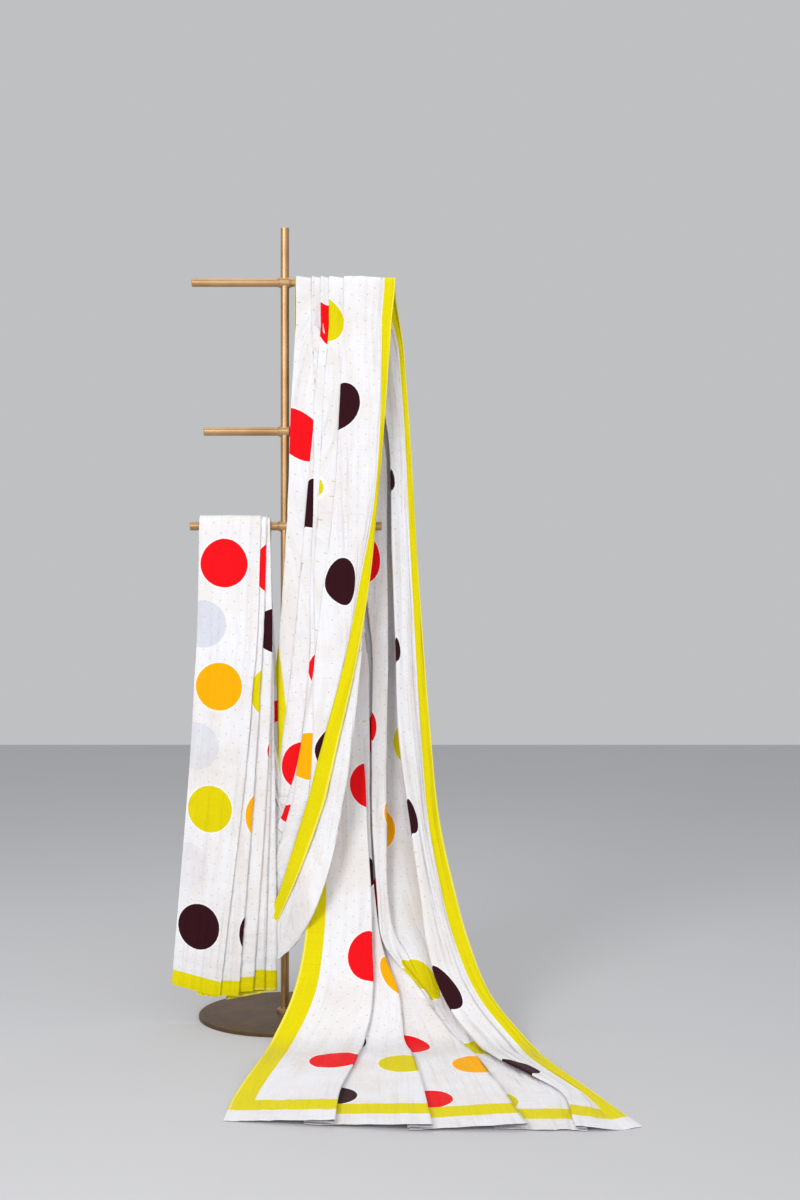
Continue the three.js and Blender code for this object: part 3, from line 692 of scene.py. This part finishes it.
def fine_grid(keys):
    """The key grid, filled in smoothly: first down each column, then across each row"""
    mean_gap = np.linalg.norm(np.diff(keys[..., :3], axis=0), axis=2).mean(axis=1)
    places = np.concatenate([[0], np.cumsum(np.maximum(mean_gap, LEAST_ROW_GAP))])
    at = [0.0]
    for k, gap in enumerate(mean_gap):
        count = max(1, int(round(gap / ROW_STEP)))
        at.extend(places[k] + (places[k + 1] - places[k]) * np.arange(1, count + 1) / count)
    rows = monotone(places, keys, np.array(at))
    columns = rows.shape[1]
    is_fold = []
    for column in COLUMNS:
        is_fold += [True, False] if "fold" in column else [False]
    splits = []
    for c in range(columns - 1):
        if is_fold[c]:
            splits.append(COLUMN_SPLITS["fold"])
        elif c < OUTER_GAPS or c >= columns - OUTER_GAPS:
            splits.append(COLUMN_SPLITS["long"])
        else:
            splits.append(COLUMN_SPLITS["short"])
    fine = []
    for row in rows:
        gaps = np.maximum(np.linalg.norm(np.diff(row[:, :3], axis=0), axis=1), LEAST_COLUMN_GAP)
        s = np.concatenate([[0], np.cumsum(gaps)])
        at = [0.0]
        for c, n in enumerate(splits):
            at.extend(s[c] + (s[c + 1] - s[c]) * np.arange(1, n + 1) / n)
        fine.append(monotone(s, row, np.array(at)))
    return np.array(fine)


def grid_normals(points):
    over = np.gradient(points, axis=1)
    down = np.gradient(points, axis=0)
    normal = np.cross(over, down)
    return normal / np.maximum(np.linalg.norm(normal, axis=2, keepdims=True), 1e-9)


# Soft ripples of the hanging cloth. Waves per metre across and along it, strength and phase.
RIPPLES = [
    {"across": 31.0, "along": 0.9, "strength": 0.5, "phase": 0.3},
    {"across": 47.0, "along": -1.7, "strength": 0.35, "phase": 1.9},
    {"across": 19.0, "along": 2.3, "strength": 0.45, "phase": 4.1},
    {"across": 8.0, "along": 6.1, "strength": 0.3, "phase": 2.2},
    {"across": 13.0, "along": 11.0, "strength": 0.2, "phase": 5.0},
]
RIPPLE_HEIGHT = 0.6
# The phase of the ripples wanders by this much, this many times a metre along the cloth
RIPPLE_WANDER = {"strength": 1.3, "along": 1.1}


def ripple(points):
    u, v = points[..., 3], points[..., 4]
    total = np.zeros(u.shape)
    for wave in RIPPLES:
        turn = 2 * math.pi * (wave["across"] * u + wave["along"] * v) + wave["phase"]
        wander = np.sin(2 * math.pi * RIPPLE_WANDER["along"] * v + wave["phase"])
        total += wave["strength"] * np.sin(turn + RIPPLE_WANDER["strength"] * wander)
    normal = grid_normals(points[..., :3])
    return normal * total[..., None] * RIPPLE_HEIGHT


def mesh_from_grid(name, points):
    rows, columns, _ = points.shape
    coords = (points[..., :3] / MILLIMETRES).reshape(-1, 3)
    index = np.arange(rows * columns).reshape(rows, columns)
    corners = [index[:-1, :-1], index[:-1, 1:], index[1:, 1:], index[1:, :-1]]
    quads = np.stack(corners, axis=-1).reshape(-1, 4)
    mesh = bpy.data.meshes.new(name)
    mesh.from_pydata(coords.tolist(), [], quads.tolist())
    uv = mesh.uv_layers.new(name="cloth")
    flat = points[..., 3:5].reshape(-1, 2)
    loops = np.zeros(len(mesh.loops), np.int32)
    mesh.loops.foreach_get("vertex_index", loops)
    uv.data.foreach_set("uv", flat[loops].astype(np.float32).ravel())
    mesh.shade_smooth()
    obj = bpy.data.objects.new(name, mesh)
    bpy.context.scene.collection.objects.link(obj)
    return obj


class Nodes:
    """Short calls for building a material's node tree"""

    def __init__(self, name):
        self.material = bpy.data.materials.new(name)
        self.material.use_nodes = True
        self.tree = self.material.node_tree
        self.tree.nodes.clear()

    def add(self, kind, **settings):
        node = self.tree.nodes.new(kind)
        for key, value in settings.items():
            setattr(node, key, value)
        return node

    def put(self, socket, value):
        if isinstance(value, bpy.types.NodeSocket):
            self.tree.links.new(value, socket)
        elif value is not None:
            socket.default_value = value

    def math(self, operation, a, b=None, c=None, clamp_result=False):
        node = self.add("ShaderNodeMath", operation=operation, use_clamp=clamp_result)
        for socket, value in zip(node.inputs, (a, b, c)):
            self.put(socket, value)
        return node.outputs[0]

    def times(self, *values):
        product = values[0]
        for value in values[1:]:
            product = self.math("MULTIPLY", product, value)
        return product

    def length(self, a, b):
        return self.math("SQRT", self.math("MULTIPLY_ADD", a, a, self.math("MULTIPLY", b, b)))

    def nearest(self, value, step, start=0.0):
        """The number of the nearest place in an even row of them, and how far off it is"""
        number = self.math("ROUND", self.math("DIVIDE", self.math("SUBTRACT", value, start), step))
        place = self.math("MULTIPLY_ADD", number, step, start)
        return number, self.math("SUBTRACT", value, place)

    def is_number(self, value, number, within=0.25):
        return self.math("COMPARE", value, float(number), within)

    def step(self, value, low, high):
        node = self.add("ShaderNodeMapRange", interpolation_type="SMOOTHSTEP")
        self.put(node.inputs["Value"], value)
        self.put(node.inputs["From Min"], low)
        self.put(node.inputs["From Max"], high)
        return node.outputs["Result"]

    def mix(self, factor, a, b):
        node = self.add("ShaderNodeMix", data_type="RGBA")
        self.put(node.inputs["Factor"], factor)
        self.put(node.inputs["A"], a)
        self.put(node.inputs["B"], b)
        return node.outputs["Result"]

    def stretch(self, vector, scale):
        node = self.add("ShaderNodeMapping")
        self.put(node.inputs["Vector"], vector)
        self.put(node.inputs["Scale"], scale)
        return node.outputs[0]

    def noise(self, vector, scale, detail=2.0, roughness=0.5):
        node = self.add("ShaderNodeTexNoise")
        self.put(node.inputs["Vector"], vector)
        self.put(node.inputs["Scale"], scale)
        self.put(node.inputs["Detail"], detail)
        self.put(node.inputs["Roughness"], roughness)
        return node.outputs["Fac"]

    def bump(self, height, strength, distance):
        node = self.add("ShaderNodeBump")
        self.put(node.inputs["Strength"], strength)
        self.put(node.inputs["Distance"], distance)
        self.put(node.inputs["Height"], height)
        return node.outputs["Normal"]

    def finish(self, colour, settings):
        """The material, from its colour and its shader's other inputs by name"""
        shader = self.add("ShaderNodeBsdfPrincipled")
        self.put(shader.inputs["Base Color"], colour)
        for name, value in settings.items():
            self.put(shader.inputs[name], value)
        output = self.add("ShaderNodeOutputMaterial")
        self.put(output.inputs["Surface"], shader.outputs[0])
        return self.material


def rgb(r, g, b):
    """Screen colour values from 0 to 255 as a linear colour"""
    linear = []
    for value in (r, g, b):
        s = value / 255
        linear.append(s / 12.92 if s <= 0.04045 else ((s + 0.055) / 1.055) ** 2.4)
    return (*linear, 1.0)


WHITE = rgb(236, 236, 240)
BLOTCH_WHITE = rgb(230, 224, 222)
# Painted shade: the darker white painted into the creases' hollows
CREASE_SHADE_WHITE = rgb(226, 216, 208)
HALO_WHITE = rgb(250, 250, 250)
# Painted see-through shade of the spots of the pleat behind
SEE_THROUGH_SHADE_BLUE = rgb(178, 188, 212)
PIN_YELLOW = rgb(196, 186, 92)
YELLOW = rgb(226, 212, 4)
PALE_YELLOW = rgb(240, 228, 96)
SPOT_YELLOW = rgb(222, 206, 4)
RED = rgb(238, 14, 24)
ORANGE = rgb(250, 174, 2)
MAROON = rgb(50, 14, 22)

# The stand's metal: noise scales, and how much its roughness varies
METAL = {"brushing": (60, 60, 900), "patches": 9.0, "grain": 420.0, "roughness_spread": 0.12}
TUBE_METAL = {"light": rgb(196, 160, 116), "dark": rgb(172, 134, 92), "roughness": 0.42}
BASE_METAL = {"light": rgb(122, 96, 68), "dark": rgb(96, 74, 52), "roughness": 0.46}
FLOOR = {"half": 7.0, "colour": rgb(206, 206, 208), "roughness": 0.75}
WORLD = {"colour": (0.93, 0.94, 0.96, 1), "strength": 0.56}
CAMERA = {"at": (0.259, -3.75, 0.934), "lens": 50, "sensor": 36, "far": 60}


def spot_pattern(n, u, v, wobble):
    """Where the spots and the rings round them are, and the spots' colour"""
    row, dv = n.nearest(v, SPOT_ROW_STEP, SPOT_ROW_START)
    odd = n.math("PINGPONG", row, 1.0)
    even = n.math("SUBTRACT", 1.0, odd)
    start = n.math("MULTIPLY_ADD", even, SPOT_ACROSS_STEP / 2, SPOT_ACROSS_START)
    place, du = n.nearest(u, SPOT_ACROSS_STEP, start)
    radius = n.math("ADD", n.length(du, dv), wobble)
    spot = n.step(radius, SPOT_RADIUS + SPOT_EDGE, SPOT_RADIUS - SPOT_EDGE)
    halo = n.step(radius, SPOT_RADIUS + HALO["outer"], SPOT_RADIUS + HALO["inner"])
    inside = n.times(
        n.math("GREATER_THAN", place, -0.5),
        n.math("LESS_THAN", place, n.math("ADD", EVEN_ROW_LAST, odd)),
        n.math("GREATER_THAN", row, -0.5),
    )
    for gap in PLAIN_SPOTS:
        left_out = n.times(n.is_number(row, gap["row"]), n.is_number(place, gap["place"]))
        inside = n.math("SUBTRACT", inside, left_out, clamp_result=True)

    # Odd rows: maroon, then orange and yellow in turns, then red. Even rows: yellow, red, maroon.
    turn = n.math("PINGPONG", n.times(n.math("SUBTRACT", row, 1.0), 0.5), 1.0)
    second = n.mix(turn, ORANGE, SPOT_YELLOW)
    third = n.mix(turn, SPOT_YELLOW, ORANGE)
    odd_colour = n.mix(n.is_number(place, 1), MAROON, second)
    odd_colour = n.mix(n.is_number(place, 2), odd_colour, third)
    odd_colour = n.mix(n.is_number(place, 3), odd_colour, RED)
    even_colour = n.mix(n.is_number(place, 1), SPOT_YELLOW, RED)
    even_colour = n.mix(n.is_number(place, 2), even_colour, MAROON)
    return n.times(spot, inside), n.times(halo, inside), n.mix(odd, even_colour, odd_colour)


def border_pattern(n, u, v, wobble):
    """Where the borders along both selvedges and the stripe across the end are, and their colour"""
    from_edge = n.math("MINIMUM", u, n.math("SUBTRACT", CLOTH_WIDTH, u))
    side = n.step(n.math("ADD", from_edge, wobble), BORDER_WIDTH + BORDER_EDGE, BORDER_WIDTH - BORDER_EDGE)
    end = n.math("ADD", v, wobble)
    end_in = n.step(end, END_MARGIN - BORDER_EDGE, END_MARGIN + BORDER_EDGE)
    stripe_end = END_MARGIN + END_STRIPE
    end_out = n.step(end, stripe_end + BORDER_EDGE, stripe_end - BORDER_EDGE)
    border = n.math("MAXIMUM", n.times(side, end_in), n.times(end_in, end_out))
    line = n.times(n.step(from_edge, *BORDER_LINE["start"]), n.step(from_edge, *BORDER_LINE["end"]), side)
    return border, n.mix(line, YELLOW, PALE_YELLOW)


def painted_see_through_shade(n, u, v):
    """How strongly the painted see-through shade of the pleat behind's spots lies on the last one, less
    towards the hem
    """
    dv = n.math("SUBTRACT", v, GHOST["along"])
    place, du = n.nearest(u, SPOT_ACROSS_STEP, SPOT_ACROSS_START + SPOT_ACROSS_STEP / 2)
    fade = n.math("MULTIPLY_ADD", place, GHOST["strength"] / 2, GHOST["strength"] * GHOST["at_hem"])
    return n.times(
        n.step(n.length(du, dv), SPOT_RADIUS + GHOST["edge"], SPOT_RADIUS - GHOST["edge"]),
        n.math("GREATER_THAN", v, GHOST["from"]),
        n.is_number(place, 1, 1.25),
        fade,
    )


def pin_pattern(n, u, v):
    """Pin dots in staggered rows"""
    row, dv = n.nearest(v, PIN_ROW_STEP)
    shift = n.times(n.math("PINGPONG", row, 1.0), PIN_STEP / 2)
    du = n.nearest(n.math("SUBTRACT", u, shift), PIN_STEP)[1]
    pin = n.step(n.length(du, dv), PIN_RADIUS + PIN_EDGE[0], PIN_RADIUS - PIN_EDGE[1])
    return n.times(pin, n.math("GREATER_THAN", v, PIN_FROM))


def crossed_noises(n, coords, sizes, detail, roughness=0.5):
    """Two noises, one stretched along the cloth and one stretched across it"""
    down = n.noise(n.stretch(coords, (sizes["fine"], sizes["coarse"], 1)), 1.0, detail, roughness)
    across = n.noise(n.stretch(coords, (sizes["coarse"], sizes["fine"], 1)), 1.0, detail, roughness)
    return down, across


def muslin_material():
    n = Nodes("muslin")
    coords = n.add("ShaderNodeUVMap", uv_map="cloth").outputs["UV"]
    split = n.add("ShaderNodeSeparateXYZ")
    n.put(split.inputs[0], coords)
    u, v = split.outputs[0], split.outputs[1]
    wobble = n.math("SUBTRACT", n.noise(coords, WOBBLE["scale"], 2.0), 0.5)
    wobble = n.times(wobble, WOBBLE["size"])
    spot, halo, spot_colour = spot_pattern(n, u, v, wobble)
    border, border_colour = border_pattern(n, u, v, wobble)
    clear = n.math("SUBTRACT", 1.0, border)
    spot = n.times(spot, clear)
    halo = n.times(halo, clear)
    pin = n.times(pin_pattern(n, u, v), clear, n.math("SUBTRACT", 1.0, halo))

    # Uneven threads, and creases that run along the cloth, or across it in the side pleats; the creases'
    # hollows also get painted shade
    warp, weft = crossed_noises(n, coords, THREADS, 3.0)
    threads = n.times(n.math("ADD", warp, weft), 0.5)
    down, across = crossed_noises(n, coords, CREASES, 2.0, 0.45)
    turned = n.times(n.math("SUBTRACT", across, down), n.step(v, *PLEATS_BEGIN))
    creases = n.math("ADD", down, turned)
    blotch = n.noise(coords, BLOTCHES["scale"], 4.0, 0.6)

    colour = n.mix(n.step(blotch, *BLOTCHES["shaded"]), WHITE, BLOTCH_WHITE)
    # Painted shade: the cloth is painted darker in the creases' hollows, where the bump sinks
    crease_shade = n.times(n.step(creases, *CREASES["shaded"]), CREASES["shade"])
    colour = n.mix(crease_shade, colour, CREASE_SHADE_WHITE)
    # Painted see-through shade: the spots of the pleat behind, painted faintly in a grey blue
    colour = n.mix(painted_see_through_shade(n, u, v), colour, SEE_THROUGH_SHADE_BLUE)
    colour = n.mix(n.times(pin, PIN_STRENGTH), colour, PIN_YELLOW)
    colour = n.mix(n.times(halo, HALO["strength"]), colour, HALO_WHITE)
    colour = n.mix(spot, colour, spot_colour)
    colour = n.mix(border, colour, border_colour)
    tone = n.add("ShaderNodeVectorMath", operation="SCALE")
    n.put(tone.inputs[0], colour)
    n.put(tone.inputs["Scale"], n.math("MULTIPLY_ADD", threads, THREADS["shade"], THREADS["darkest"]))

    # The relief: creases, crumples and the lines where the cloth was pressed flat
    crush = n.noise(coords, CRUSH["scale"], 4.0, 0.55)
    from_fold = n.math("ABSOLUTE", n.nearest(v, PRESSED["step"])[1])
    pressed = n.step(from_fold, PRESSED["width"], 0.0)
    height = n.times(threads, THREADS["height"])
    for relief, sizes in ((creases, CREASES), (crush, CRUSH), (pressed, PRESSED)):
        height = n.math("MULTIPLY_ADD", relief, sizes["height"], height)
    return n.finish(tone.outputs[0], {
        "Roughness": 0.92,
        "Specular IOR Level": 0.12,
        "Sheen Weight": 0.06,
        "Sheen Roughness": 0.5,
        "Normal": n.bump(height, 1.0, 1.0),
    })


def metal_material(name, light, dark, roughness):
    """Metal brushed round its axis, darker and rougher in broad patches"""
    n = Nodes(name)
    coords = n.add("ShaderNodeTexCoord").outputs["Object"]
    fine = n.noise(n.stretch(coords, METAL["brushing"]), 1.0, 3.0, 0.6)
    broad = n.noise(coords, METAL["patches"], 3.0, 0.55)
    spread = METAL["roughness_spread"]
    grain = n.math("ADD", fine, n.noise(coords, METAL["grain"], 2.0))
    return n.finish(n.mix(n.step(broad, 0.3, 0.7), dark, light), {
        "Metallic": 0.85,
        "Roughness": n.math("MULTIPLY_ADD", n.math("ADD", fine, broad), spread, roughness - spread),
        "Normal": n.bump(grain, 0.12, 0.0003),
    })


def plain_material(name, colour, roughness):
    n = Nodes(name)
    coords = n.add("ShaderNodeTexCoord").outputs["Object"]
    darker = tuple(value * 0.96 for value in colour[:3]) + (1.0,)
    return n.finish(n.mix(n.noise(coords, 1.2, 2.0), colour, darker), {"Roughness": roughness})


def add_camera():
    data = bpy.data.cameras.new("camera")
    data.lens = CAMERA["lens"]
    data.sensor_width = CAMERA["sensor"]
    data.sensor_fit = "AUTO"
    data.clip_end = CAMERA["far"]
    camera = bpy.data.objects.new("camera", data)
    camera.location = CAMERA["at"]
    camera.rotation_euler = (math.pi / 2, 0, 0)
    bpy.context.scene.collection.objects.link(camera)
    bpy.context.scene.camera = camera


# Where each light stands, what it points at, its size and its power
LIGHTS = [
    {"name": "key", "at": (-1.9, -3.7, 2.6), "to": (0.1, 0, 0.9), "size": 1.6, "power": 93},
    {"name": "fill", "at": (1.6, -4.2, 1.5), "to": (0.2, 0, 0.7), "size": 2.8, "power": 42},
    {"name": "top", "at": (0.2, 0.4, 3.6), "to": (0.2, 0, 0.8), "size": 2.4, "power": 26},
]


def add_lights():
    for light in LIGHTS:
        data = bpy.data.lights.new(light["name"], "AREA")
        data.shape = "SQUARE"
        data.size = light["size"]
        data.energy = light["power"]
        lamp = bpy.data.objects.new(light["name"], data)
        lamp.location = light["at"]
        aim = Vector(light["to"]) - Vector(light["at"])
        lamp.rotation_euler = aim.to_track_quat("-Z", "Y").to_euler()
        bpy.context.scene.collection.objects.link(lamp)
    world = bpy.data.worlds.new("studio")
    world.use_nodes = True
    background = world.node_tree.nodes["Background"]
    background.inputs["Color"].default_value = WORLD["colour"]
    background.inputs["Strength"].default_value = WORLD["strength"]
    bpy.context.scene.world = world
    bpy.context.scene.view_settings.view_transform = "Standard"


def add_floor():
    mesh = bpy.data.meshes.new("floor")
    half = FLOOR["half"]
    corners = [(-half, -half, 0), (half, -half, 0), (half, half, 0), (-half, half, 0)]
    mesh.from_pydata(corners, [], [(0, 1, 2, 3)])
    floor = bpy.data.objects.new("floor", mesh)
    bpy.context.scene.collection.objects.link(floor)
    mesh.materials.append(plain_material("floor", FLOOR["colour"], FLOOR["roughness"]))


def dress_stand(frame):
    tube = metal_material("stand_metal", **TUBE_METAL)
    base = metal_material("base_metal", **BASE_METAL)
    for name, node in frame["nodes"].items():
        if name == "saree":
            continue
        material = base if name == "base_disc" else tube
        node.data.materials.clear()
        node.data.materials.append(material)


def main():
    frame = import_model()
    add_camera()
    add_lights()
    add_floor()
    dress_stand(frame)

    keys = key_grid()
    points = fine_grid(keys)
    points[..., :3] += ripple(points)
    points[..., 2] = np.maximum(points[..., 2], LOWEST)
    saree = mesh_from_grid("saree_cloth", points)
    saree.data.materials.append(muslin_material())
    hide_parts("saree")
    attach(saree, "root")


main()
